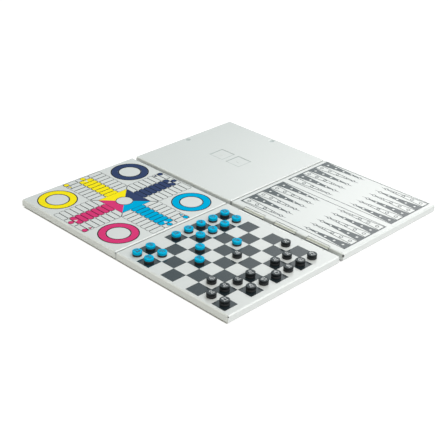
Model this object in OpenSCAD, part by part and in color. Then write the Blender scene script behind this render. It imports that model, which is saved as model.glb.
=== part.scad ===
// Folding set of four game panels with magnetic men.
// Four square pans of folded sheet lie two by two. A pair folds together at its seam, rim to rim,
// and the two pairs close over the men on three links that hinge at both their edges.

/* [Panels] */
// Side of one square panel over its rims
panel_side = 162; // [150:1:180]
// Height of a panel from its rim to its top
panel_height = 8; // [7:0.5:12]
// Thickness of the panels' sheet
sheet_t = 0.8; // [0.6:0.1:0.9]
// Radius of the round relief hole at a panel's corners
relief_r = 0.8; // [0.4:0.1:0.9]

/* [Hinges] */
// Radius of the hinge pins
pin_r = 0.5; // [0.4:0.05:0.6]
// Running clearance between a pin and its knuckles
pin_clear = 0.05; // [0.02:0.01:0.08]
// Wall of a knuckle round its pin
knuckle_wall = 0.85; // [0.75:0.05:1]
// Depth of a spine knuckle under the face of the bend that it sits in
knuckle_sink = 0.1; // [0.05:0.05:0.2]
// Clearance between a knuckle and the notch cut for it
notch_clear = 0.3; // [0.2:0.05:0.5]
// Gap between the ends of neighbouring knuckles
knuckle_gap = 0.6; // [0.4:0.1:1]
// Gap between the rims of two panels when they are folded together
rim_gap = 0.3; // [0.2:0.1:0.6]
// Seam between two panels that fold together
seam = 1.3; // [1.2:0.1:1.6]
// Number of knuckles along a seam
seam_knuckles = 9; // [5:2:13]
// Distance from a panel's side to the first seam knuckle
seam_end = 1; // [1:0.5:6]
// Length of one link along the spine
link_l = 30; // [20:1:34]
// Distance between the middles of neighbouring links
link_pitch = 46; // [42:1:50]
// Length of a panel's knuckle past the outer links
end_knuckle = 8; // [5:1:10]
// Length of a spine pin past its last knuckle
pin_over = 2; // [1:0.5:4]
// Thickness of a link's web
link_t = 0.6; // [0.5:0.1:1]

/* [Men] */
// Diameter of a man
man_d = 10.4; // [8:0.1:13]
// Height of a man's cap
cap_h = 3; // [2:0.1:4]
// Radius of the round edge on a man's cap
cap_round = 0.6; // [0.3:0.1:1]
// Height of a man's magnet base
magnet_h = 2.25; // [1.5:0.05:4]
// Step in from the cap to the magnet base
magnet_step = 0.2; // [0.1:0.1:0.6]
// Thickness of the glue between a cap and its magnet base
glue_t = 0.05; // [0.02:0.01:0.1]
// Air over the men when the boards are shut
men_air = 0.8; // [0.6:0.1:2]

/* [Chess board] */
// Distance from the panel's outer side to the squares
chess_side_margin = 3.5; // [3:0.5:6]
// Distance from the panel's spine side to the squares
chess_spine_margin = 14.5; // [12:0.5:16]
// Distance from the panel's front to the squares
chess_front_margin = 8.2; // [6:0.1:10]

/* [Backgammon board] */
// Length of one point
point_l = 63; // [50:1:66]
// Width of the bar between the two halves
bar_w = 10; // [8:0.5:12]
// Distance from the panel's spine side to the lines
backgammon_spine_margin = 9.5; // [6:0.5:12]
// Distance from the panel's outer side to the lines
backgammon_side_margin = 3.3; // [3:0.1:6]
// Distance from the panel's front to the lines, the same at the back
backgammon_end_margin = 6.5; // [4:0.5:10]
// Distance from a point's base to its first dot
dot_start = 6.6; // [5:0.2:8]
// Distance from a point's tip to its last dot
dot_end = 8.4; // [7:0.2:10]
// Radius of the dots on a point
dot_r = 2.3; // [1.8:0.1:2.6]

/* [Ludo board] */
// Width of one lane of the track
lane_w = 18.2; // [16:0.2:19]
// Distance from the panel's sides to the track
ludo_margin = 2.5; // [2:0.1:4]
// Radius of the corners of a cell
cell_round = 2; // [1:0.1:2.5]
// Half of the side of the middle square
core_half = 20.5; // [19:0.5:21]
// Radius of the round goal in the middle
goal_r = 10; // [8:0.5:11]
// Bare metal between a corner ring and the track
ring_margin = 4.3; // [3:0.1:6]
// Width of a corner ring
ring_w = 7.4; // [5:0.1:10]
// Width of the lines round a corner ring
ring_line = 1.2; // [0.6:0.1:1.4]
// Length of the arrows that point to the middle
arrow_l = 4.6; // [3:0.2:5]

/* [Prints] */
// Thickness of the printed film
print_t = 0.1; // [0.08:0.01:0.2]
// Width of a printed line
line_w = 0.8; // [0.5:0.05:0.9]
// Width of the line round one cell of the ludo track
cell_line = 0.4; // [0.2:0.05:0.5]
// Bare metal left between two prints
print_gap = 0.1; // [0.08:0.02:0.3]

/* [Cover] */
// Radius of the round dimples by the cover's free sides
dimple_r = 4.2; // [3:0.1:4.4]
// Depth of a dimple
dimple_depth = 0.4; // [0.2:0.1:0.5]
// Distance from a free side to the middle of its dimple
dimple_inset = 6; // [6:0.5:12]
// Side of the two sunk squares in the middle of the cover
motif_side = 22; // [16:1:24]
// Distance between the middles of the sunk squares
motif_pitch = 28; // [26:1:34]
// Depth of the sunk squares
motif_depth = 0.3; // [0.1:0.05:0.4]
// Radius of the round boss left standing in a sunk square
boss_r = 2.5; // [1:0.5:4]

/* [Hidden] */
$fn = 64;
past = 1;
bore_r = pin_r + pin_clear;
barrel_r = bore_r + knuckle_wall;
bend_r = barrel_r + knuckle_sink;
notch_r = barrel_r + notch_clear;
man_h = cap_h + glue_t + magnet_h;
spine_gap = print_t + man_h + men_air;
seam_z = barrel_r;
rim_z = seam_z + rim_gap / 2;
top_z = rim_z + panel_height;
spine_x = spine_gap / 2 + bend_r;
spine_z = top_z - bend_r;
panel_x = (panel_side + spine_gap) / 2;
panel_y = (panel_side + seam) / 2;
seam_pitch = (panel_side - 2 * seam_end) / seam_knuckles;
spine_run = 2 * link_pitch + link_l + 2 * end_knuckle;
link_places = [-1, 0, 1] * link_pitch;
half_points = 6;
point_dots = 5;
squares = 8;
arm_cells = 8;
dish_r = (dimple_r * dimple_r + dimple_depth * dimple_depth) / (2 * dimple_depth);
square = (panel_side - chess_side_margin - chess_spine_margin) / squares;
backgammon_w = panel_side - backgammon_spine_margin - backgammon_side_margin;
point_w = (backgammon_w - bar_w) / (2 * half_points);
dot_pitch = (point_l - dot_start - dot_end) / (point_dots - 1);
ludo_half = panel_side / 2 - ludo_margin;
cell_l = (ludo_half - core_half) / arm_cells;
cell_y = function (row) -core_half - (row + 0.5) * cell_l;
start_r = (cell_l - print_gap - cell_line) / 2;
start_x = 1.5 * lane_w - cell_l / 2;
arrow_y = cell_y(arm_cells - 2) + cell_l / 2 - 1.5 * print_gap - cell_line - arrow_l / 2;
arrow_in_r = arrow_l / (1 + sqrt(5));
arrow_mid = arrow_in_r - arrow_l / 2;
ring_offset = (ludo_half + 1.5 * lane_w) / 2;
ring_r = (ludo_half - 1.5 * lane_w) / 2 - ring_margin;

silver = [0.82, 0.84, 0.83];
steel = [0.55, 0.56, 0.57];
charcoal = [0.12, 0.13, 0.14];
slate = [0.29, 0.33, 0.36];
ludo_colours = [[0, 0.67, 0.87], [0.22, 0.27, 0.43], [0.98, 0.9, 0.12], [0.86, 0.24, 0.48]];

// Squares that hold the men, counted along the front and away from it, in the photographed position
blue_squares = [
    [0, 7], [1, 7], [3, 7], [4, 7], [5, 7], [6, 7], [7, 7], [0, 6],
    [1, 6], [4, 6], [5, 6], [6, 6], [7, 6], [3, 5], [2, 4], [5, 4]
];
black_squares = [
    [0, 0], [2, 0], [3, 0], [4, 0], [5, 0], [6, 0], [7, 0], [0, 1],
    [1, 1], [2, 1], [3, 1], [5, 1], [6, 1], [1, 2], [7, 2], [4, 3]
];

blue_men = [for (i = [1:len(blue_squares)]) str("blue_man_", i)];
black_men = [for (i = [1:len(black_squares)]) str("black_man_", i)];

// Whether a chess square is a dark one
function is_dark(at) = (at[0] + at[1]) % 2 == 0;

// Start of a seam knuckle's stretch, measured from the panel's middle
function seam_start(i) = -panel_side / 2 + seam_end + i * seam_pitch;

// Centre of the largest circle in a point of the backgammon board, which its outline shrinks to
function point_centre(w) = [0, w * point_l / (w + 2 * sqrt(w * w / 4 + point_l * point_l))];

// Upright section of a pan: a plate with two rims bent down
module pan_section(side, height, r) {
    translate([-side / 2, -past])
        square([side, height - r + past]);
    translate([-side / 2 + r, -past])
        square([side - 2 * r, height + past]);
    for (x = [-1, 1])
        translate([x * (side / 2 - r), height - r])
            circle(r);
}

// Block with the pan's bends along all four edges, open to below the rim
module pan_block(side, height, r) {
    intersection() {
        rotate([90, 0, 0])
            linear_extrude(side, center = true)
                pan_section(side, height, r);
        rotate([90, 0, 90])
            linear_extrude(side, center = true)
                pan_section(side, height, r);
    }
}

// Pan of folded sheet, centred, with its rim at zero height
module plain_pan() {
    difference() {
        pan_block(panel_side, panel_height, bend_r);
        pan_block(panel_side - 2 * sheet_t, panel_height - sheet_t, bend_r - sheet_t);
        translate([0, 0, -past])
            cube([panel_side + 2 * past, panel_side + 2 * past, 2 * past], center = true);
        for (a = [0:90:270])
            rotate([0, 0, a])
                translate([panel_side / 2 - bend_r, panel_side / 2 - bend_r, panel_height - bend_r])
                    rotate([0, 90, 45])
                        cylinder(h = 3 * bend_r, r = relief_r);
    }
}

// Barrel along X from the origin
module barrel_x(length, r) {
    rotate([0, 90, 0])
        cylinder(h = length, r = r);
}

// Barrel along Y from the origin
module barrel_y(length, r) {
    rotate([-90, 0, 0])
        cylinder(h = length, r = r);
}

// Pan whose seam side is +Y and whose spine side is +X, with every second knuckle of the seam
module hinged_pan(first_knuckle, has_spine) {
    seam_y = panel_side / 2 + seam / 2;
    spine_at = [panel_side / 2 - bend_r, 0, panel_height - bend_r];
    link_notch = link_l + 2 * knuckle_gap;
    difference() {
        union() {
            plain_pan();
            for (i = [first_knuckle:2:seam_knuckles - 1])
                translate([seam_start(i) + knuckle_gap / 2, seam_y, seam_z - rim_z])
                    barrel_x(seam_pitch - knuckle_gap, barrel_r);
            if (has_spine)
                translate(spine_at - [0, spine_run / 2, 0])
                    barrel_y(spine_run, barrel_r);
        }
        translate([-panel_side / 2, seam_y, seam_z - rim_z])
            barrel_x(panel_side, bore_r);
        for (i = [1 - first_knuckle:2:seam_knuckles - 1])
            translate([seam_start(i), seam_y - notch_r, seam_z - rim_z - notch_r])
                cube([seam_pitch, notch_r, 2 * notch_r]);
        if (has_spine) {
            translate(spine_at - [0, spine_run / 2 + pin_over, 0])
                barrel_y(spine_run + 2 * pin_over, bore_r);
            for (y = link_places)
                translate(spine_at + [-notch_r, y - link_notch / 2, -notch_r])
                    cube([notch_r + bend_r + past, link_notch, notch_r + bend_r + past]);
        }
    }
}

// Places a panel's contents: its own frame has the middle of its rim plane at the origin
module at_panel(sx, sy) {
    translate([sx * panel_x, sy * panel_y, rim_z])
        children();
}

module chess_pan() {
    color(silver)
        at_panel(-1, -1)
            hinged_pan(0, true);
}

module backgammon_pan() {
    color(silver)
        at_panel(1, -1)
            mirror([1, 0, 0])
                hinged_pan(0, true);
}

module ludo_pan() {
    color(silver)
        at_panel(-1, 1)
            mirror([0, 1, 0])
                hinged_pan(1, false);
}

// Places the ball that presses each dimple by the cover's free sides
module at_dimples() {
    for (a = [0, 90])
        rotate([0, 0, a])
            translate([panel_side / 2 - dimple_inset, 0, panel_height - dimple_depth + dish_r])
                children();
}

// Places the two sunk squares in the middle of the cover
module at_motif() {
    for (y = [-1, 1])
        translate([0, y * motif_pitch / 2, panel_height])
            children();
}

module cover_pan() {
    pad_side = motif_side + 2 * sheet_t;
    color(silver)
        at_panel(1, 1)
            difference() {
                union() {
                    mirror([0, 1, 0])
                        hinged_pan(1, false);
                    at_dimples()
                        intersection() {
                            sphere(dish_r + sheet_t);
                            translate([0, 0, -dish_r - sheet_t])
                                cylinder(h = sheet_t, r = dimple_r + dimple_depth);
                        }
                    at_motif()
                        translate([0, 0, -motif_depth - sheet_t / 2])
                            cube([pad_side, pad_side, sheet_t], center = true);
                }
                at_dimples()
                    sphere(dish_r);
                at_motif()
                    difference() {
                        cube([motif_side, motif_side, 2 * motif_depth], center = true);
                        cylinder(h = 3 * motif_depth, r = boss_r, center = true);
                    }
            }
}

// Link in the gap between the halves: a dark web with a knuckle rolled along both its edges
module spine_link(place) {
    web_z = spine_z - barrel_r + knuckle_sink;
    translate([0, place - link_l / 2 - panel_y, 0])
        difference() {
            union() {
                color(charcoal)
                    translate([-spine_x, 0, web_z])
                        cube([2 * spine_x, link_l, link_t]);
                color(silver)
                    for (x = [-1, 1])
                        translate([x * spine_x, 0, spine_z])
                            barrel_y(link_l, barrel_r);
            }
            for (x = [-1, 1])
                translate([x * spine_x, -past, spine_z])
                    barrel_y(link_l + 2 * past, bore_r);
        }
}

module spine_pin(sx) {
    color(steel)
        translate([sx * spine_x, -panel_y - spine_run / 2 - pin_over, spine_z])
            barrel_y(spine_run + 2 * pin_over, pin_r);
}

module seam_pin(sx) {
    color(steel)
        translate([sx * panel_x + seam_start(0) + knuckle_gap / 2, 0, seam_z])
            barrel_x(seam_knuckles * seam_pitch - knuckle_gap, pin_r);
}

// Lays a flat print on a panel, drawn from the panel's middle
module lay_print(sx, sy) {
    at_panel(sx, sy)
        translate([0, 0, panel_height])
            linear_extrude(print_t)
                children();
}

// Round printed line, just inside a radius
module round_line(r, width) {
    difference() {
        circle(r);
        circle(r - width);
    }
}

// Front left corner of a chess square, from the panel's middle
function square_corner(at) = [
    chess_side_margin - panel_side / 2 + at[0] * square,
    chess_front_margin - panel_side / 2 + at[1] * square
];

module chess_squares() {
    color(slate)
        lay_print(-1, -1)
            for (u = [0:squares - 1], v = [0:squares - 1])
                if (is_dark([u, v]))
                    translate(square_corner([u, v]) + [print_gap, print_gap] / 2)
                        square(square - print_gap);
}

// Left edge of one half of the backgammon board, from the panel's middle
function half_x(half) = backgammon_spine_margin - panel_side / 2 + half * (half_points * point_w + bar_w);

// Places one shape on every second point, on both long sides of the board
module at_points(first) {
    for (half = [0, 1], i = [0:half_points - 1], side = [0, 1])
        if ((i + side) % 2 == first)
            mirror([0, side, 0])
                translate([half_x(half) + (i + 0.5) * point_w, backgammon_end_margin - panel_side / 2])
                    children();
}

// One point, shrunk about the centre of the largest circle in it
module point(w, shrink = 0) {
    centre = point_centre(w);
    share = 1 - shrink / centre[1];
    corners = [[-w / 2, 0], [w / 2, 0], [0, point_l]];
    polygon([for (p = corners) centre + share * (p - centre)]);
}

// Places a dot at every step along a point
module at_dots() {
    for (i = [0:point_dots - 1])
        translate([0, dot_start + i * dot_pitch])
            children();
}

module backgammon_points() {
    color(slate)
        lay_print(1, -1)
            at_points(0)
                difference() {
                    union() {
                        point(point_w, print_gap / 2);
                        at_dots()
                            circle(dot_r);
                    }
                    at_dots()
                        circle(dot_r - line_w);
                }
}

module backgammon_lines() {
    field = [half_points * point_w, panel_side - 2 * backgammon_end_margin];
    edge = [line_w, line_w];
    color(slate)
        lay_print(1, -1) {
            for (half = [0, 1])
                translate([half_x(half), -field[1] / 2])
                    difference() {
                        translate(-edge)
                            square(field + 2 * edge);
                        square(field);
                    }
            at_points(1) {
                difference() {
                    point(point_w, print_gap / 2);
                    point(point_w, print_gap / 2 + line_w);
                    at_dots()
                        circle(dot_r);
                }
                at_dots()
                    round_line(dot_r - print_gap, line_w);
            }
        }
}

// Wedge of the ludo board that the front arm stays in, drawn in from the diagonals
module arm_wedge(inset) {
    translate([0, -inset * sqrt(2)])
        polygon([[0, 0], [panel_side, -panel_side], [-panel_side, -panel_side]]);
}

// One cell of the arm that runs to the front, shrunk on all sides
module arm_cell(lane, row, shrink) {
    size = [lane_w, cell_l] - 2 * [shrink, shrink];
    r = cell_round - shrink;
    intersection() {
        translate([lane * lane_w, -core_half - (row + 0.5) * cell_l]) {
            square(size - [2 * r, 0], center = true);
            square(size - [0, 2 * r], center = true);
            for (x = [-1, 1], y = [-1, 1])
                translate([x * (size[0] / 2 - r), y * (size[1] / 2 - r)])
                    circle(r);
        }
        arm_wedge(shrink);
    }
}

// Printed outlines of the cells of all four arms, of the corner rings and of the goal
module ludo_track() {
    color(slate)
        lay_print(-1, 1) {
            for (a = [0:90:270])
                rotate(a) {
                    for (lane = [-1:1], row = [0:arm_cells - 1])
                        difference() {
                            arm_cell(lane, row, print_gap / 2);
                            arm_cell(lane, row, print_gap / 2 + cell_line);
                        }
                    translate([ring_offset, -ring_offset]) {
                        round_line(ring_r + print_gap + ring_line, ring_line);
                        round_line(ring_r - ring_w - print_gap, ring_line);
                    }
                    at_start_dots()
                        round_line(start_r, cell_line);
                    at_start_arrow()
                        difference() {
                            arrow(0);
                            arrow(cell_line);
                        }
                }
            round_line(goal_r - print_gap, line_w);
        }
}

// Arrow that points from the front to the middle, shrunk on all sides
module arrow(shrink) {
    translate([0, arrow_mid])
        scale(1 - shrink / arrow_in_r)
            translate([0, -arrow_mid])
                polygon([[-arrow_l / 2, -arrow_l / 2], [arrow_l / 2, -arrow_l / 2], [0, arrow_l / 2]]);
}

// Middles of the two round dots at the front arm's end, one by the outer side of the start lane
module at_start_dots() {
    for (x = [0, start_x])
        translate([x, cell_y(arm_cells - 1)])
            children();
}

// Middle of the arrow in the start lane
module at_start_arrow() {
    translate([start_x, arrow_y])
        children();
}

// One player's colour: corner ring, home lane, share of the middle and start dots
module ludo_colour(turn) {
    inset = print_gap + cell_line;
    color(ludo_colours[turn])
        lay_print(-1, 1)
            rotate(90 * turn) {
                translate([ring_offset, -ring_offset])
                    difference() {
                        circle(ring_r);
                        circle(ring_r - ring_w);
                    }
                for (row = [0:arm_cells - 2])
                    difference() {
                        arm_cell(0, row, print_gap / 2 + inset);
                        if (row == arm_cells - 2)
                            translate([0, cell_y(row)])
                                arrow(0);
                    }
                difference() {
                    intersection() {
                        arm_wedge(print_gap / 2);
                        translate([-core_half, -core_half])
                            square([2 * core_half, core_half]);
                    }
                    circle(goal_r);
                }
                at_start_dots()
                    circle(start_r - inset);
                at_start_arrow()
                    arrow(inset);
            }
}

// One man on a chess square: a cap with a round edge on a magnet base
module man(at, cap_colour) {
    seat = panel_height + (is_dark(at) ? print_t : 0);
    at_panel(-1, -1)
        translate(concat(square_corner(at) + [square, square] / 2, seat)) {
            color(charcoal)
                cylinder(h = magnet_h, r = man_d / 2 - magnet_step);
            color(cap_colour)
                translate([0, 0, magnet_h + glue_t])
                    rotate_extrude() {
                        square([man_d / 2, cap_h - cap_round]);
                        square([man_d / 2 - cap_round, cap_h]);
                        intersection() {
                            translate([man_d / 2 - cap_round, cap_h - cap_round])
                                circle(cap_round);
                            square([man_d / 2, cap_h]);
                        }
                    }
        }
}

chess_pan();
ludo_pan();
backgammon_pan();
cover_pan();
spine_link(link_places[0]);  // front_link
spine_link(link_places[1]);  // middle_link
spine_link(link_places[2]);  // rear_link
spine_pin(-1);  // chess_spine_pin
spine_pin(1);  // backgammon_spine_pin
seam_pin(-1);  // ludo_seam_pin
seam_pin(1);  // cover_seam_pin
chess_squares();
backgammon_points();
backgammon_lines();
ludo_track();
ludo_colour(0);  // ludo_cyan
ludo_colour(1);  // ludo_navy
ludo_colour(2);  // ludo_yellow
ludo_colour(3);  // ludo_pink
for (i = [0:len(blue_men) - 1])
    man(blue_squares[i], ludo_colours[0]);
for (i = [0:len(black_men) - 1])
    man(black_squares[i], charcoal);
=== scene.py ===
import math
import random
import bpy
import bmesh
from mathutils import Matrix, Vector


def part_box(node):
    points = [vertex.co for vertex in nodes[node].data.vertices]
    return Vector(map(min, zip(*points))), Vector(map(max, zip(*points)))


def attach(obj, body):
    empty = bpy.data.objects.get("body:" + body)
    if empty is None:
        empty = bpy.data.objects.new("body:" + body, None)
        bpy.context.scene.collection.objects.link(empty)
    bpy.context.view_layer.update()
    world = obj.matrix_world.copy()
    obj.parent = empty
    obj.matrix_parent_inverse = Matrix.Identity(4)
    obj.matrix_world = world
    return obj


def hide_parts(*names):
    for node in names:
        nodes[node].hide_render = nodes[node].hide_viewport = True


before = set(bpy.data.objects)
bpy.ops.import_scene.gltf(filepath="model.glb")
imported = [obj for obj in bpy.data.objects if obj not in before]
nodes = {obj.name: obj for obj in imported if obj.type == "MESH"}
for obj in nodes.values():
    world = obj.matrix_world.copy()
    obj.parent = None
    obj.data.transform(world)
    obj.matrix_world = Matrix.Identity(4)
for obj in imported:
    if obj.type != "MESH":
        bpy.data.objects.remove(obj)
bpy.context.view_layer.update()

scene = bpy.context.scene
mm = 0.001


# a socket that takes part in Python expressions
class Wire:
    def __init__(self, finish, socket):
        self.finish = finish
        self.socket = socket

    def calc(self, operation, *values):
        node = self.finish.add("ShaderNodeMath", {"operation": operation}, dict(enumerate(values)))
        return self.finish.out(node)

    def __add__(self, other):
        return self.calc("ADD", self, other)

    def __radd__(self, other):
        return self.calc("ADD", other, self)

    def __sub__(self, other):
        return self.calc("SUBTRACT", self, other)

    def __rsub__(self, other):
        return self.calc("SUBTRACT", other, self)

    def __mul__(self, other):
        return self.calc("MULTIPLY", self, other)

    def __rmul__(self, other):
        return self.calc("MULTIPLY", other, self)

    def __abs__(self):
        return self.calc("ABSOLUTE", self)

    def larger(self, other):
        return self.calc("MAXIMUM", self, other)


# one node tree, for a material or the world
class Finish:
    def __init__(self, owner):
        owner.use_nodes = True
        self.owner = owner
        self.tree = owner.node_tree
        self.tree.nodes.clear()

    def add(self, nodeType, settings, inputs):
        node = self.tree.nodes.new(nodeType)
        for key, value in settings.items():
            setattr(node, key, value)
        for key, value in inputs.items():
            if isinstance(value, Wire):
                self.tree.links.new(value.socket, node.inputs[key])
            else:
                node.inputs[key].default_value = value
        return node

    def out(self, node, key=0):
        return Wire(self, node.outputs[key])

    def place(self, kind="Object"):
        return self.out(self.add("ShaderNodeTexCoord", {}, {}), kind)

    def parts(self, vector):
        node = self.add("ShaderNodeSeparateXYZ", {}, {0: vector})
        return [self.out(node, i) for i in range(3)]

    def stretch(self, vector, scale):
        node = self.add("ShaderNodeVectorMath", {"operation": "MULTIPLY"}, {0: vector, 1: scale})
        return self.out(node)

    def noise(self, vector, grain, detail=2.0, rough=0.5):
        inputs = {"Vector": vector, "Scale": 1 / grain, "Detail": detail, "Roughness": rough}
        return self.out(self.add("ShaderNodeTexNoise", {}, inputs), "Fac")

    def ramp(self, value, low, high, toLow=0.0, toHigh=1.0):
        inputs = {"Value": value, "From Min": low, "From Max": high, "To Min": toLow, "To Max": toHigh}
        return self.out(self.add("ShaderNodeMapRange", {"interpolation_type": "SMOOTHSTEP"}, inputs))

    def mix(self, share, first, second):
        node = self.add("ShaderNodeMix", {"data_type": "RGBA"}, {0: share, 6: first, 7: second})
        return self.out(node, 2)

    def bump(self, height, depth, strength):
        inputs = {"Height": height, "Distance": depth, "Strength": strength}
        return self.out(self.add("ShaderNodeBump", {}, inputs))

    def principled(self, inputs):
        shader = self.add("ShaderNodeBsdfPrincipled", {}, inputs)
        self.add("ShaderNodeOutputMaterial", {}, {"Surface": self.out(shader)})
        return self.owner


def newFinish(name):
    return Finish(bpy.data.materials.new(name))


def rgba(colour):
    return (*colour, 1.0)


# camera, at the viewing angle of the photograph
cameraSet = {
    "target": (-0.04095, -0.03284, 0.00955),
    "azimuth": -45.575,
    "elevation": 28.484,
    "roll": 1.248,
    "distance": 1.1389,
    "lens": 84.85,
    "sensor": 36,
    "clip": 0.01,
}


def makeCamera():
    azimuth = math.radians(cameraSet["azimuth"])
    elevation = math.radians(cameraSet["elevation"])
    roll = math.radians(cameraSet["roll"])
    flat = math.cos(elevation)
    back = Vector((math.sin(azimuth) * flat, -math.cos(azimuth) * flat, math.sin(elevation)))
    right = (-back).cross(Vector((0, 0, 1))).normalized()
    up = back.cross(right)
    turnedRight = math.cos(roll) * right + math.sin(roll) * up
    turnedUp = math.cos(roll) * up - math.sin(roll) * right
    camera = bpy.data.objects.new("camera", bpy.data.cameras.new("camera"))
    scene.collection.objects.link(camera)
    camera.data.sensor_width = cameraSet["sensor"]
    camera.data.lens = cameraSet["lens"]
    camera.data.clip_start = cameraSet["clip"]
    turn = Matrix((turnedRight, turnedUp, back)).transposed().to_4x4()
    spot = Vector(cameraSet["target"]) + cameraSet["distance"] * back
    camera.matrix_world = Matrix.Translation(spot) @ turn
    scene.camera = camera


makeCamera()
scene.view_settings.view_transform = "Standard"
print("camera set")

# satin silver paint of the pans
paintSet = {
    "pale": (0.617, 0.643, 0.636),
    "deep": (0.577, 0.603, 0.596),
    # painted highlight colour of the bends
    "bendHighlight": (0.75, 0.78, 0.77),
    "bendHighlightShare": 0.9,
    "scuff": (0.72, 0.74, 0.72),
    "scuffShare": 0.6,
    "scuffGrain": 2.2 * mm,
    "scuffRange": (0.52, 0.66),
    # painted shade colour for the cover's dimples and sunk squares
    "recessShade": (0.36, 0.41, 0.4),
    # painted shade colour for the seams, the gap and the corner notch
    "creviceShade": (0.06, 0.065, 0.062),
    "top": 9.55 * mm,
    "seamReach": (1.9 * mm, 1.71 * mm),
    "seamEnd": (163.6 * mm, 162.6 * mm),
    "seamDepth": (0.6 * mm, 1.0 * mm),
    "seamShade": 0.4,
    "gapReach": (3.5 * mm, 3.325 * mm),
    "gapDepth": (1.6 * mm, 3.8 * mm),
    "gapShade": 0.08,
    "pinEnd": (3.4 * mm, -162.6 * mm, 6.8 * mm),
    "pinEndRadius": 1.7 * mm,
    "pinEndCore": 0.6,
    "flake": 0.35 * mm,
    "cloud": 60 * mm,
    "peel": 1.1 * mm,
    "peelDepth": 0.02 * mm,
}


# painted shade low down in the seams and in the gap between the halves, and a painted shade spot round the
# pin's end at the front, where the corner notch opens
def crevice(finish, place):
    x, y, z = finish.parts(place)
    deep = paintSet["top"] - z
    inSeam = finish.ramp(abs(y), *paintSet["seamReach"]) * finish.ramp(deep, *paintSet["seamDepth"])
    inSeam = inSeam * finish.ramp(abs(x), *paintSet["seamEnd"])
    inGap = finish.ramp(abs(x), *paintSet["gapReach"]) * finish.ramp(deep, *paintSet["gapDepth"])
    u, v, w = (axis - spot for axis, spot in zip((x, y, z), paintSet["pinEnd"]))
    reach = paintSet["pinEndRadius"] ** 2
    atPin = finish.ramp(u * u + v * v + w * w, reach, paintSet["pinEndCore"] * reach)
    return (inSeam * paintSet["seamShade"] + inGap * paintSet["gapShade"]).larger(atPin)


def makePaint(name, marks=None):
    finish = newFinish(name)
    place = finish.place()
    flake = finish.noise(place, paintSet["flake"], 1.0)
    cloud = finish.noise(place, paintSet["cloud"], 4.0)
    steep = abs(finish.parts(finish.place("Normal"))[2])
    bend = steep * (1 - steep) * 4  # strongest halfway round a bend
    scuff = bend * finish.ramp(finish.noise(place, paintSet["scuffGrain"], 5.0, 0.7), *paintSet["scuffRange"])
    tone = finish.mix(flake * 0.5 + cloud * 0.5, rgba(paintSet["deep"]), rgba(paintSet["pale"]))
    # painted highlight: the bends are painted lighter, standing in for the light they catch
    tone = finish.mix(bend * paintSet["bendHighlightShare"], tone, rgba(paintSet["bendHighlight"]))
    colour = finish.mix(scuff * paintSet["scuffShare"], tone, rgba(paintSet["scuff"]))
    if marks:
        # painted shade in the cover's dimples and at the foot of its sunk squares
        colour = finish.mix(marks(finish, place), colour, rgba(paintSet["recessShade"]))
    # painted shade in the seams, the gap and round the pin's end
    colour = finish.mix(crevice(finish, place), colour, rgba(paintSet["creviceShade"]))
    peel = finish.noise(place, paintSet["peel"], 2.0)
    return finish.principled({
        "Base Color": colour,
        "Roughness": 0.11 + cloud * 0.06 + flake * 0.03 + scuff * 0.2,
        "Metallic": 0.0,
        "IOR": 1.5,
        "Normal": finish.bump(peel + flake * 0.5, paintSet["peelDepth"], 0.25),
    })


# painted shade in the cover's dimples and along the foot of its sunk squares
coverSet = {
    "middle": (84.1 * mm, 81.65 * mm),
    "dimpleReach": 75.0 * mm,
    "dimpleRadius": 4.1 * mm,
    "dimpleCore": 2.46 * mm,
    "dimpleShade": 0.85,
    "squareHalf": 11.0 * mm,
    "squareShift": 14.0 * mm,
    "lineWidth": 1.6 * mm,
    "lineEdge": 0.1 * mm,
    "lineShade": (0.65, 0.35),
    "patch": 3 * mm,
}


def coverRecessShade(finish, place):
    x, y = (axis - middle for axis, middle in zip(finish.parts(place), coverSet["middle"]))
    rim, core = coverSet["dimpleRadius"] ** 2, coverSet["dimpleCore"] ** 2
    share = 0.0
    for spot in ((coverSet["dimpleReach"], 0.0), (0.0, coverSet["dimpleReach"])):
        u, v = x - spot[0], y - spot[1]
        share = share + finish.ramp(u * u + v * v, rim, core, 0.0, coverSet["dimpleShade"])
    out = abs(x).larger(abs(abs(y) - coverSet["squareShift"]))
    half, width = coverSet["squareHalf"], coverSet["lineWidth"]
    line = finish.ramp(out, half - width, half - width / 2)
    line = line * finish.ramp(out, half, half + coverSet["lineEdge"], 1.0, 0.0)
    patchy = finish.ramp(finish.noise(place, coverSet["patch"], 3.0), 0.35, 0.6)
    least, more = coverSet["lineShade"]
    return share + line * (least + more * patchy)


# bare zinc-coated steel inside the pans
zincSet = {"pale": (0.56, 0.57, 0.57), "deep": (0.4, 0.41, 0.415), "spangle": 6 * mm, "grain": 0.8 * mm}


def makeZinc():
    finish = newFinish("zinc coat")
    place = finish.place()
    inputs = {"Vector": place, "Scale": 1 / zincSet["spangle"]}
    cells = finish.add("ShaderNodeTexVoronoi", {}, inputs)
    crystal = finish.parts(finish.out(cells, "Color"))[0]
    grain = finish.noise(place, zincSet["grain"], 4.0)
    share = crystal * 0.6 + grain * 0.4
    return finish.principled({
        "Base Color": finish.mix(share, rgba(zincSet["deep"]), rgba(zincSet["pale"])),
        "Roughness": 0.38 + share * 0.2,
        "Metallic": 0.85,
        "Normal": finish.bump(grain + crystal * 0.5, 0.02 * mm, 0.3),
    })


# screen-printed inks
inkSet = {
    "slate": ((0.008, 0.014, 0.017), (0.012, 0.019, 0.023)),
    "grey": ((0.016, 0.025, 0.029), (0.024, 0.034, 0.038)),
    "black": ((0.01, 0.013, 0.016), (0.02, 0.024, 0.028)),
    "cyan": ((0.0, 0.345, 0.61), (0.0, 0.39, 0.68)),
    "navy": ((0.032, 0.052, 0.126), (0.04, 0.062, 0.146)),
    "yellow": ((0.84, 0.72, 0.01), (0.9, 0.77, 0.018)),
    "pink": ((0.58, 0.038, 0.16), (0.65, 0.049, 0.188)),
}
inkLook = {
    "gloss": {"slate": 0.5, "grey": 0.5},
    "mattGloss": 0.002,
    "grain": 0.5 * mm,
    "screen": 2.6 * mm,
}


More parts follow.
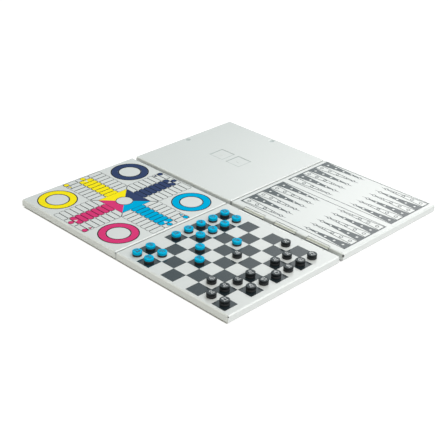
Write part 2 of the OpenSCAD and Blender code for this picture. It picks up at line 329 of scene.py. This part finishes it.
def makeInk(name):
    finish = newFinish(name + " ink")
    place = finish.place()
    grain = finish.noise(place, inkLook["grain"], 2.0)
    screen = finish.noise(place, inkLook["screen"], 4.0)
    deep, pale = inkSet[name]
    return finish.principled({
        "Base Color": finish.mix(grain * 0.5 + screen * 0.5, rgba(deep), rgba(pale)),
        "Roughness": 0.17 + screen * 0.1 + grain * 0.04,
        "IOR": 1.5,
        "Specular IOR Level": inkLook["gloss"].get(name, inkLook["mattGloss"]),
        "Normal": finish.bump(grain + screen, 0.01 * mm, 0.25),
    })


# links: painted shade along the chess edge, bare leaves, and barrels painted paler than the pans as a painted
# highlight
linkSet = {
    "nodes": ("front_link", "middle_link", "rear_link"),
    # pale and deep: colours of the painted shade along the chess edge
    "pale": (0.03, 0.032, 0.034),
    "deep": (0.012, 0.013, 0.014),
    "leaf": (0.6, 0.62, 0.57),
    "grain": 0.4 * mm,
    "rub": 1.2 * mm,
    "rubStretch": (1.0, 0.08, 1.0),
    "shadeMiddle": -0.75 * mm,
    "shadeHalf": 2.15 * mm,
    "barrelFrom": 4.0 * mm,
    # paler than the pans: a painted highlight on the barrels
    "barrelHighlight": (0.82, 0.85, 0.84),
    "edge": 0.2 * mm,
}


def makeLinkPaint():
    finish = newFinish("link paint")
    place = finish.place()
    grain = finish.noise(place, linkSet["grain"], 3.0)
    rub = finish.noise(finish.stretch(place, linkSet["rubStretch"]), linkSet["rub"], 4.0)
    across = finish.parts(place)[0]
    fringe = (rub - 0.5) * linkSet["edge"]
    fromShade = abs(across - linkSet["shadeMiddle"]) + fringe
    leaf = finish.ramp(fromShade, linkSet["shadeHalf"], linkSet["shadeHalf"] + linkSet["edge"])
    fromMiddle = abs(across) + fringe
    barrelHighlight = finish.ramp(fromMiddle, linkSet["barrelFrom"], linkSet["barrelFrom"] + linkSet["edge"])
    light = finish.mix(barrelHighlight, rgba(linkSet["leaf"]), rgba(linkSet["barrelHighlight"]))
    paintedShade = finish.mix(grain * 0.6 + rub * 0.4, rgba(linkSet["deep"]), rgba(linkSet["pale"]))
    return finish.principled({
        # painted shade along the chess edge, painted highlight on the barrels
        "Base Color": finish.mix(leaf, paintedShade, light),
        "Roughness": 0.42 + grain * 0.2 - leaf * 0.2,
        "Normal": finish.bump(grain, 0.02 * mm, 0.4),
    })


# drawn steel wire of the pins, with marks that run along it
wireSet = {"pale": (0.62, 0.62, 0.62), "deep": (0.42, 0.43, 0.44), "mark": 0.25 * mm, "drawn": 0.03}


def makePinSteel(name, along):
    finish = newFinish(name)
    scale = [1.0, 1.0, 1.0]
    scale[along] = wireSet["drawn"]
    marks = finish.noise(finish.stretch(finish.place(), scale), wireSet["mark"], 3.0)
    return finish.principled({
        "Base Color": finish.mix(marks, rgba(wireSet["deep"]), rgba(wireSet["pale"])),
        "Roughness": 0.22 + marks * 0.22,
        "Metallic": 1.0,
        "Normal": finish.bump(marks, 0.01 * mm, 0.4),
    })


silverPaint = makePaint("silver paint")
coverPaint = makePaint("cover paint", coverRecessShade)
zincCoat = makeZinc()
inks = {name: makeInk(name) for name in inkSet}
linkPaint = makeLinkPaint()
seamSteel = makePinSteel("seam pin steel", 0)
spineSteel = makePinSteel("spine pin steel", 1)
print("board finishes made")


def dress(node, *materials):
    mesh = nodes[node].data
    mesh.materials.clear()
    for material in materials:
        mesh.materials.append(material)
    return mesh


# pans: paint outside, zinc on what lies within half the sheet of the inside
panSet = {
    "nodes": ("chess_pan", "ludo_pan", "backgammon_pan", "cover_pan"),
    "skin": 0.5 * mm,
    "side": 162 * mm,
}


def dressPan(node):
    mesh = dress(node, coverPaint if node == "cover_pan" else silverPaint, zincCoat)
    low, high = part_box(node)
    seamLow = node in ("ludo_pan", "cover_pan")
    side = panSet["side"]
    corner = Vector((low.x, high.y - side if seamLow else low.y))
    middle = corner + Vector((side, side)) / 2
    reach = side / 2 - panSet["skin"]
    for face in mesh.polygons:
        away = face.center.xy - middle
        within = max(abs(away.x), abs(away.y)) < reach and face.center.z < high.z - panSet["skin"]
        face.material_index = 1 if within else 0


for panNode in panSet["nodes"]:
    dressPan(panNode)

for linkNode in linkSet["nodes"]:
    dress(linkNode, linkPaint)

printSet = {
    "chess_squares": "slate",
    "backgammon_points": "grey",
    "backgammon_lines": "grey",
    "ludo_track": "black",
    "ludo_cyan": "cyan",
    "ludo_navy": "navy",
    "ludo_yellow": "yellow",
    "ludo_pink": "pink",
}
for printNode, inkName in printSet.items():
    dress(printNode, inks[inkName])

for pinNode in ("ludo_seam_pin", "cover_seam_pin"):
    dress(pinNode, seamSteel)
for pinNode in ("chess_spine_pin", "backgammon_spine_pin"):
    dress(pinNode, spineSteel)
print("pans, links, pins and prints dressed")

# men: a moulded cap on a magnet, with a printed sign on top
manSet = {
    "capRound": 0.6,
    "capFoot": 0.15,
    "capLow": 2.3,
    "capRing": 1.4,
    "magnetStep": 0.2,
    "magnetEdge": 0.18,
    "magnetHigh": 2.28,
    "film": 0.03,
    "sides": 64,
    "arcSteps": 6,
    "turn": 24,
    "seed": 7,
    "blue": "rook knight queen king bishop knight rook pawn pawn pawn pawn pawn pawn pawn pawn bishop",
    "black": "rook bishop queen king bishop knight rook pawn pawn pawn pawn pawn pawn knight pawn pawn",
}

# signs as closed lines, in millimetres from the middle of the cap
signSet = {
    "pawn": [
        [(-1.9, -2.4), (1.9, -2.4), (1.5, -1.5), (0.7, -0.7), (0.55, 0.35), (1.15, 0.95), (1.15, 1.75),
         (0.6, 2.35), (-0.6, 2.35), (-1.15, 1.75), (-1.15, 0.95), (-0.55, 0.35), (-0.7, -0.7),
         (-1.5, -1.5)],
    ],
    "rook": [
        [(-2.1, -2.4), (2.1, -2.4), (1.6, -1.5), (1.3, 0.7), (2.0, 1.3), (2.0, 2.5), (1.1, 2.5), (1.1, 1.8),
         (0.5, 1.8), (0.5, 2.5), (-0.5, 2.5), (-0.5, 1.8), (-1.1, 1.8), (-1.1, 2.5), (-2.0, 2.5),
         (-2.0, 1.3), (-1.3, 0.7), (-1.6, -1.5)],
    ],
    "knight": [
        [(-1.6, -2.5), (1.9, -2.5), (1.9, -1.0), (1.6, 0.7), (0.9, 1.8), (0.1, 2.6), (-0.3, 1.9),
         (-1.2, 1.2), (-2.3, -0.2), (-1.8, -0.9), (-0.8, -0.4), (0.0, -0.2), (-0.9, -1.4)],
    ],
    "bishop": [
        [(-1.9, -2.5), (1.9, -2.5), (1.4, -1.7), (0.8, -1.1), (1.4, 0.1), (1.3, 1.1), (0.0, 2.7),
         (-1.3, 1.1), (-1.4, 0.1), (-0.8, -1.1), (-1.4, -1.7)],
        [(-0.2, 0.3), (0.2, 0.3), (0.2, 1.3), (-0.2, 1.3)],
    ],
    "queen": [
        [(-1.7, -2.4), (1.7, -2.4), (1.5, -1.2), (2.6, 1.5), (1.3, 0.4), (1.0, 2.3), (0.0, 0.6),
         (-1.0, 2.3), (-1.3, 0.4), (-2.6, 1.5), (-1.5, -1.2)],
    ],
    "king": [
        [(-1.7, -2.5), (1.7, -2.5), (1.5, -1.4), (2.4, 0.0), (1.8, 1.1), (0.7, 1.1), (0.3, 0.6), (0.3, 1.7),
         (0.9, 1.7), (0.9, 2.3), (0.3, 2.3), (0.3, 2.9), (-0.3, 2.9), (-0.3, 2.3), (-0.9, 2.3), (-0.9, 1.7),
         (-0.3, 1.7), (-0.3, 0.6), (-0.7, 1.1), (-1.8, 1.1), (-2.4, 0.0), (-1.5, -1.4)],
    ],
}


# moulded plastic of the caps: a painted sheen on the top faces, worn pale round the rim
capSet = {
    "blue": {
        "deep": (0.0, 0.36, 0.6),
        "pale": (0.0, 0.41, 0.66),
        "worn": (0.05, 0.5, 0.78),
        "top": (0.0, 0.39, 0.64),
        "shine": 0.02,
    },
    "black": {
        "deep": (0.004, 0.006, 0.007),
        "pale": (0.008, 0.011, 0.013),
        "worn": (0.08, 0.085, 0.088),
        # top: a painted sheen on the black caps' top faces
        "top": (0.036, 0.044, 0.048),
        "shine": 0.16,
    },
    "cloud": 4 * mm,
    "grain": 0.35 * mm,
    "rub": 1.3 * mm,
    "rimHeight": (4.8 * mm, 5.2 * mm),
    "rimOut": ((4.65 * mm) ** 2, (5.15 * mm) ** 2),
}


def makeCapPlastic(side):
    colours = capSet[side]
    finish = newFinish(side + " plastic")
    place = finish.place()
    cloud = finish.noise(place, capSet["cloud"], 3.0)
    grain = finish.noise(place, capSet["grain"], 2.0)
    x, y, z = finish.parts(place)
    rim = finish.ramp(z, *capSet["rimHeight"]) * finish.ramp(x * x + y * y, *capSet["rimOut"])
    rub = rim * finish.ramp(finish.noise(place, capSet["rub"], 4.0), 0.45, 0.7)
    # painted sheen: the top faces take the top colour
    topSheen = finish.ramp(finish.parts(finish.place("Normal"))[2], 0.75, 0.98) * (0.75 + cloud * 0.25)
    tone = finish.mix(cloud * 0.7 + grain * 0.3, rgba(colours["deep"]), rgba(colours["pale"]))
    tone = finish.mix(topSheen, tone, rgba(colours["top"]))
    return finish.principled({
        "Base Color": finish.mix(rub * 0.5, tone, rgba(colours["worn"])),
        "Roughness": 0.24 + grain * 0.1 + rub * 0.2,
        "IOR": 1.5,
        "Specular IOR Level": colours["shine"],
        "Normal": finish.bump(grain + cloud, 0.02 * mm, 0.3),
    })


magnetSet = {
    "deep": (0.012, 0.014, 0.016),
    "pale": (0.04, 0.042, 0.045),
    "grain": 0.3 * mm,
    "cloud": 2.5 * mm,
    "shine": 0.2,
}


def makeMagnet():
    finish = newFinish("magnet ferrite")
    place = finish.place()
    grain = finish.noise(place, magnetSet["grain"], 4.0, 0.65)
    cloud = finish.noise(place, magnetSet["cloud"], 3.0)
    return finish.principled({
        "Base Color": finish.mix(grain * 0.7 + cloud * 0.3, rgba(magnetSet["deep"]), rgba(magnetSet["pale"])),
        "Roughness": 0.4 + grain * 0.25,
        "Specular IOR Level": magnetSet["shine"],
        "Normal": finish.bump(grain, 0.03 * mm, 0.4),
    })


# printed signs: navy on the blue men, grey on the black ones, with the line's width in millimetres
signInkSet = {
    "blue": {
        "name": "navy sign ink",
        "deep": (0.004, 0.014, 0.04),
        "pale": (0.008, 0.025, 0.06),
        "line": 0.72,
    },
    "black": {
        "name": "grey sign ink",
        "deep": (0.4, 0.42, 0.43),
        "pale": (0.56, 0.58, 0.59),
        "line": 0.62,
    },
    "grain": 0.4 * mm,
}


def makeSignInk(side):
    plan = signInkSet[side]
    finish = newFinish(plan["name"])
    grain = finish.noise(finish.place(), signInkSet["grain"], 3.0)
    return finish.principled({
        "Base Color": finish.mix(grain, rgba(plan["deep"]), rgba(plan["pale"])),
        "Roughness": 0.35 + grain * 0.15,
        "Normal": finish.bump(grain, 0.01 * mm, 0.3),
    })


# turns a profile of (radius, height) points, in millimetres, into closed rings
def turnProfile(mesh, profile, sides, materialIndex):
    rings = []
    for radius, height in profile:
        if radius == 0:
            rings.append([mesh.verts.new((0, 0, height * mm))])
            continue
        ring = []
        for i in range(sides):
            angle = 2 * math.pi * i / sides
            spot = Vector((radius * math.cos(angle), radius * math.sin(angle), height))
            ring.append(mesh.verts.new(spot * mm))
        rings.append(ring)
    for lower, upper in zip(rings, rings[1:]):
        for i in range(sides):
            j = (i + 1) % sides
            corners = [lower[i % len(lower)], lower[j % len(lower)]]
            corners += [upper[j % len(upper)], upper[i % len(upper)]]
            face = mesh.faces.new(list(dict.fromkeys(corners)))  # a ring of one point gives a triangle
            face.material_index = materialIndex
            face.smooth = True


# points of a closed line moved sideways, with mitred corners
def movedLine(points, shift):
    moved = []
    for i, point in enumerate(points):
        here = Vector(point)
        before = (here - Vector(points[i - 1])).normalized()
        after = (Vector(points[(i + 1) % len(points)]) - here).normalized()
        side = Vector((before.y, -before.x)) + Vector((after.y, -after.x))
        side.normalize()
        reach = shift / max(0.5, side.dot(Vector((after.y, -after.x))))
        moved.append(here + side * reach)
    return moved


# a printed closed line of even width, as a thin closed solid
def layLine(mesh, points, width, low, high, materialIndex):
    loops = []
    for shift in (width / 2, -width / 2):
        line = movedLine(points, shift)
        for height in (low, high):
            loops.append([mesh.verts.new((p.x * mm, p.y * mm, height * mm)) for p in line])
    outerLow, outerHigh, innerLow, innerHigh = loops
    around = (outerLow, outerHigh, innerHigh, innerLow, outerLow)
    count = len(points)
    for first, second in zip(around, around[1:]):
        for i in range(count):
            j = (i + 1) % count
            face = mesh.faces.new((first[i], first[j], second[j], second[i]))
            face.material_index = materialIndex


def makeManMesh(name, sign, lineWidth, radius, height):
    mesh = bmesh.new()
    top = height - manSet["film"]
    roundness, foot = manSet["capRound"], manSet["capFoot"]
    cap = [(0, manSet["capLow"]), (radius - foot, manSet["capLow"]), (radius, manSet["capLow"] + foot)]
    for step in range(manSet["arcSteps"] + 1):
        angle = math.pi / 2 * step / manSet["arcSteps"]
        out, up = roundness * math.cos(angle), roundness * math.sin(angle)
        cap.append((radius - roundness + out, top - roundness + up))
    cap += [(radius - manSet["capRing"], top), (0, top)]
    side, edge, high = radius - manSet["magnetStep"], manSet["magnetEdge"], manSet["magnetHigh"]
    magnet = [(0, 0), (side - edge, 0), (side, edge), (side, high - edge), (side - edge, high), (0, high)]
    turnProfile(mesh, cap, manSet["sides"], 0)
    turnProfile(mesh, magnet, manSet["sides"], 1)
    for line in signSet[sign]:
        layLine(mesh, line, lineWidth, top, height, 2)
    bmesh.ops.recalc_face_normals(mesh, faces=mesh.faces)
    data = bpy.data.meshes.new(name)
    mesh.to_mesh(data)
    mesh.free()
    return data


def makeMen(side, facing):
    shapes = {}
    finishes = (makeCapPlastic(side), magnetFerrite, makeSignInk(side))
    lineWidth = signInkSet[side]["line"]
    draw = random.Random(manSet["seed"] + facing)
    for i, sign in enumerate(manSet[side].split()):
        node = f"{side}_man_{i + 1}"
        low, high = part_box(node)
        if sign not in shapes:
            size = (high - low) / mm
            shapes[sign] = makeManMesh(f"{side} {sign}", sign, lineWidth, size.x / 2, size.z)
            for finish in finishes:
                shapes[sign].materials.append(finish)
        man = bpy.data.objects.new(f"{side}_{sign}_{i + 1}", shapes[sign])
        scene.collection.objects.link(man)
        man.location = ((low.x + high.x) / 2, (low.y + high.y) / 2, low.z)
        man.rotation_euler.z = math.radians(facing + draw.uniform(-manSet["turn"], manSet["turn"]))
        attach(man, node)
        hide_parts(node)


magnetFerrite = makeMagnet()
makeMen("blue", 180)
makeMen("black", 0)
print("men made")

# pale floor: white round the set, with the shade that a panel keeps close under it
floorSet = {
    "half": 6.0,
    "share": 0.6,
    "white": 1.37,
    "matt": (0.9, 0.9, 0.9),
    "sideReach": 165.2 * mm,
    "frontReach": 160.8 * mm,
    "edge": 0.4 * mm,
    "reach": 22 * mm,
    "open": (0.52, 0.85),
    "samples": 32,
}


def makeFloor():
    mesh = bmesh.new()
    bmesh.ops.create_grid(mesh, x_segments=1, y_segments=1, size=floorSet["half"])
    data = bpy.data.meshes.new("floor")
    mesh.to_mesh(data)
    mesh.free()
    floor = bpy.data.objects.new("floor", data)
    scene.collection.objects.link(floor)
    finish = newFinish("pale floor")
    path = finish.add("ShaderNodeLightPath", {}, {})
    seen = finish.out(path, "Is Camera Ray").larger(finish.out(path, "Is Glossy Ray"))
    seen = seen.larger(finish.out(path, "Is Transmission Ray"))
    x, y = finish.parts(finish.place())[:2]
    clear = (abs(x) - floorSet["sideReach"]).larger(abs(y) - floorSet["frontReach"])
    around = finish.ramp(clear, -floorSet["edge"], floorSet["edge"])
    settings = {"samples": floorSet["samples"]}
    near = finish.add("ShaderNodeAmbientOcclusion", settings, {"Distance": floorSet["reach"]})
    bare = finish.ramp(finish.out(near, "AO"), *floorSet["open"])
    matt = finish.add("ShaderNodeBsdfDiffuse", {}, {"Color": rgba(floorSet["matt"])})
    white = finish.add("ShaderNodeEmission", {}, {"Color": (1, 1, 1, 1), "Strength": floorSet["white"]})
    share = seen * around.larger(bare) * floorSet["share"]
    both = finish.add("ShaderNodeMixShader", {}, {0: share, 1: finish.out(matt), 2: finish.out(white)})
    finish.add("ShaderNodeOutputMaterial", {}, {"Surface": finish.out(both)})
    data.materials.append(finish.owner)


# soft light by direction: each source covers the ones above it
studioSet = {
    "room": {"colour": (1.0, 0.98, 0.94), "strength": 0.12},
    "backdrop": {"colour": (0.78, 0.95, 1.0), "strength": 0.95},  # seen in gloss only
    "left": {
        "axis": (-0.92, -0.2, 0.34),
        "fade": (0.55, 0.9),
        "colour": (1.0, 0.98, 0.76),
        "strength": 0.8,
    },
    "front": {
        "axis": (-0.05, -0.94, 0.34),
        "fade": (0.55, 0.9),
        "colour": (1.0, 1.0, 1.0),
        "strength": 1.7,
    },
    "window": {
        "left": 48,
        "leftFade": (0.0, 0.3),
        "right": 14,
        "rightFade": (0.0, 0.15),
        "low": (0.3, 0.5),
        "high": (0.75, 0.6),
        "colour": (1.0, 1.0, 1.0),
        "strength": 4.3,
    },
    "plain": {"colour": (1.0, 1.0, 1.0), "strength": 1.0},  # behind the set, for the camera only
}


def makeStudio():
    world = bpy.data.worlds.new("studio")
    scene.world = world
    finish = Finish(world)
    direction = finish.place("Generated")

    def facing(axis, fade):
        dot = finish.add("ShaderNodeVectorMath", {"operation": "DOT_PRODUCT"}, {0: direction, 1: axis})
        return finish.ramp(finish.out(dot, "Value"), *fade)

    def glow(source):
        inputs = {"Color": rgba(source["colour"]), "Strength": source["strength"]}
        return finish.out(finish.add("ShaderNodeBackground", {}, inputs))

    def cover(light, share, other):
        return finish.out(finish.add("ShaderNodeMixShader", {}, {0: share, 1: light, 2: other}))

    path = finish.add("ShaderNodeLightPath", {}, {})
    light = cover(glow(studioSet["room"]), finish.out(path, "Is Glossy Ray"), glow(studioSet["backdrop"]))
    for name in ("left", "front"):
        source = studioSet[name]
        light = cover(light, facing(source["axis"], source["fade"]), glow(source))
    window = studioSet["window"]
    left, right = math.radians(window["left"]), math.radians(window["right"])
    up = (0.0, 0.0, 1.0)
    opening = facing((math.sin(left), -math.cos(left), 0.0), window["leftFade"])
    opening = opening * facing((-math.sin(right), math.cos(right), 0.0), window["rightFade"])
    opening = opening * facing(up, window["low"]) * facing(up, window["high"])
    light = cover(light, opening, glow(window))
    light = cover(light, finish.out(path, "Is Camera Ray"), glow(studioSet["plain"]))
    finish.add("ShaderNodeOutputWorld", {}, {"Surface": light})


# two large soft lamps above the right side and the front, turned to the middle of the set
lampSet = {
    "side lamp": {"spot": (0.295, -0.07, 0.64), "size": 0.5, "power": 1.65},
    "front lamp": {"spot": (-0.05, -0.15, 0.55), "size": 0.5, "power": 1.3},
}


def makeLamp(name):
    lampPlan = lampSet[name]
    lamp = bpy.data.objects.new(name, bpy.data.lights.new(name, "AREA"))
    scene.collection.objects.link(lamp)
    lamp.data.shape = "DISK"
    lamp.data.size = lampPlan["size"]
    lamp.data.energy = lampPlan["power"]
    lamp.location = lampPlan["spot"]
    lamp.rotation_euler = Vector(lampPlan["spot"]).to_track_quat("Z", "Y").to_euler()


for lampName in lampSet:
    makeLamp(lampName)
makeFloor()
makeStudio()
print("floor and studio made")
